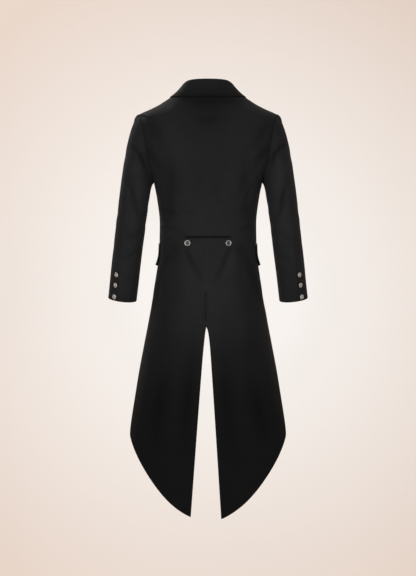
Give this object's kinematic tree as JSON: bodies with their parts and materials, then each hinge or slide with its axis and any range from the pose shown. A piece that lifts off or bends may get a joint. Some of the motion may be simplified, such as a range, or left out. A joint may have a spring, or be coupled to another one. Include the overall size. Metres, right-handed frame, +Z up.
{
  "type": "tailcoat",
  "caption": "Long black formal tailcoat, worn and filled out, with a waist-length front, notched lapels, buttoned cuffs and two tails that part at a centre vent.",
  "frame": {"origin": "middle of the neck opening at the height of the shoulders' neck points, where the wearer's neck and shoulders carry the coat", "axes": "+Z up, the wearer faces -Y, +X is the wearer's left"},
  "size_m": [0.6222, 0.2858, 1.3631],
  "materials": {
    "coat_cloth": "matt black suiting with a fine twill and a faint sheen",
    "button_metal": "silver-coloured metal, satin, darker in the sunken ring"
  },
  "bodies": {
    "root": {"back": "coat_cloth", "side_body_left": "coat_cloth", "side_body_right": "coat_cloth", "front_left": "coat_cloth", "front_right": "coat_cloth", "lapel_left": "coat_cloth", "lapel_right": "coat_cloth", "collar": "coat_cloth", "top_sleeve_left": "coat_cloth", "top_sleeve_right": "coat_cloth", "under_sleeve_left": "coat_cloth", "under_sleeve_right": "coat_cloth", "tail_left": "coat_cloth", "tail_right": "coat_cloth", "pocket_flap_left": "coat_cloth", "pocket_flap_right": "coat_cloth", "back_button_left": "button_metal", "back_button_right": "button_metal", "cuff_button_left_1": "button_metal", "cuff_button_left_2": "button_metal", "cuff_button_left_3": "button_metal", "cuff_button_right_1": "button_metal", "cuff_button_right_2": "button_metal", "cuff_button_right_3": "button_metal", "front_button_1": "button_metal", "front_button_2": "button_metal", "front_button_3": "button_metal"}
  },
  "joints": []
}
